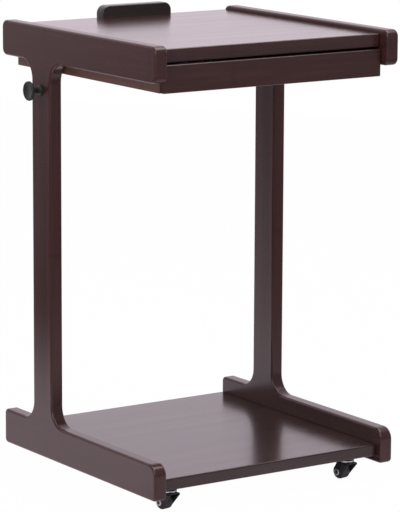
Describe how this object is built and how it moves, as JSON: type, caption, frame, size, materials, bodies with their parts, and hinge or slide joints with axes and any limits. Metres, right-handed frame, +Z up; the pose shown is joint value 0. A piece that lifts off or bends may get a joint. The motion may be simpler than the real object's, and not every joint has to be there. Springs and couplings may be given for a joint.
{
  "type": "c-shaped end table",
  "caption": "C-shaped end table of lacquered board on swivel casters, with a slide-out drawer under a recessed top, a back ledge, a base shelf and a side hanging hook.",
  "frame": {"origin": "on the floor under the table, midway between the side frames and midway along the base rails", "axes": "+Z up, +X to the right seen from the front, -Y to the front, where the drawer opens"},
  "size_m": [0.4284, 0.406, 0.6645],
  "materials": {
    "lacquer": "dark brown lacquered bamboo, satin gloss",
    "drawer_board": "dark brown stained, satin",
    "dowel": "raw beech",
    "black_metal": "black coated, satin",
    "zinc": "bright zinc plated",
    "rubber": "matte black",
    "hub": "silver"
  },
  "bodies": {
    "frame": {"left_cheek": "lacquer", "right_cheek": "lacquer", "left_leg": "lacquer", "right_leg": "lacquer", "left_base_rail": "lacquer", "right_base_rail": "lacquer", "top_board": "lacquer", "base_panel": "lacquer", "back_ledge": "lacquer", "left_runner": "drawer_board", "right_runner": "drawer_board", "stop_cleat": "drawer_board", "hook_peg": "black_metal", "hook_flange": "black_metal", "left_foot_dowel_front": "dowel", "left_foot_dowel_back": "dowel", "left_neck_dowel_front": "dowel", "left_neck_dowel_back": "dowel", "right_foot_dowel_front": "dowel", "right_foot_dowel_back": "dowel", "right_neck_dowel_front": "dowel", "right_neck_dowel_back": "dowel", "left_top_dowel_front": "dowel", "left_top_dowel_back": "dowel", "left_base_dowel_front": "dowel", "left_base_dowel_back": "dowel", "right_top_dowel_front": "dowel", "right_top_dowel_back": "dowel", "right_base_dowel_front": "dowel", "right_base_dowel_back": "dowel", "front_left_caster_plate": "zinc", "front_right_caster_plate": "zinc", "back_left_caster_plate": "zinc", "back_right_caster_plate": "zinc", "front_left_caster_kingpin": "zinc", "front_right_caster_kingpin": "zinc", "back_left_caster_kingpin": "zinc", "back_right_caster_kingpin": "zinc"},
    "drawer": {"drawer_front": "lacquer", "drawer_left_side": "lacquer", "drawer_right_side": "lacquer", "drawer_back": "lacquer", "drawer_bottom": "drawer_board"},
    "front_left_swivel": {"front_left_caster_fork": "black_metal", "front_left_caster_axle": "zinc"},
    "front_right_swivel": {"front_right_caster_fork": "black_metal", "front_right_caster_axle": "zinc"},
    "back_left_swivel": {"back_left_caster_fork": "black_metal", "back_left_caster_axle": "zinc"},
    "back_right_swivel": {"back_right_caster_fork": "black_metal", "back_right_caster_axle": "zinc"},
    "front_left_wheel": {"front_left_caster_tyre": "rubber", "front_left_caster_hub": "hub"},
    "front_right_wheel": {"front_right_caster_tyre": "rubber", "front_right_caster_hub": "hub"},
    "back_left_wheel": {"back_left_caster_tyre": "rubber", "back_left_caster_hub": "hub"},
    "back_right_wheel": {"back_right_caster_tyre": "rubber", "back_right_caster_hub": "hub"}
  },
  "joints": [
    {"name": "drawer_slide", "type": "slide", "parent": "frame", "child": "drawer", "axis": [0, -1, 0], "range_m": [0, 0.255]},
    {"name": "front_left_turn", "type": "hinge", "parent": "frame", "child": "front_left_swivel", "pos_m": [-0.153, -0.162, 0.0246], "axis": [0, 0, 1], "continuous": true},
    {"name": "front_right_turn", "type": "hinge", "parent": "frame", "child": "front_right_swivel", "pos_m": [0.153, -0.162, 0.0246], "axis": [0, 0, 1], "continuous": true},
    {"name": "back_left_turn", "type": "hinge", "parent": "frame", "child": "back_left_swivel", "pos_m": [-0.153, 0.172, 0.0246], "axis": [0, 0, 1], "continuous": true},
    {"name": "back_right_turn", "type": "hinge", "parent": "frame", "child": "back_right_swivel", "pos_m": [0.153, 0.172, 0.0246], "axis": [0, 0, 1], "continuous": true},
    {"name": "front_left_roll", "type": "hinge", "parent": "front_left_swivel", "child": "front_left_wheel", "pos_m": [-0.15474, -0.15215, 0.0106], "axis": [0.9848, 0.1736, 0], "continuous": true},
    {"name": "front_right_roll", "type": "hinge", "parent": "front_right_swivel", "child": "front_right_wheel", "pos_m": [0.15126, -0.15215, 0.0106], "axis": [0.9848, 0.1736, 0], "continuous": true},
    {"name": "back_left_roll", "type": "hinge", "parent": "back_left_swivel", "child": "back_left_wheel", "pos_m": [-0.143, 0.172, 0.0106], "axis": [0, 1, 0], "continuous": true},
    {"name": "back_right_roll", "type": "hinge", "parent": "back_right_swivel", "child": "back_right_wheel", "pos_m": [0.143, 0.172, 0.0106], "axis": [0, 1, 0], "continuous": true}
  ]
}
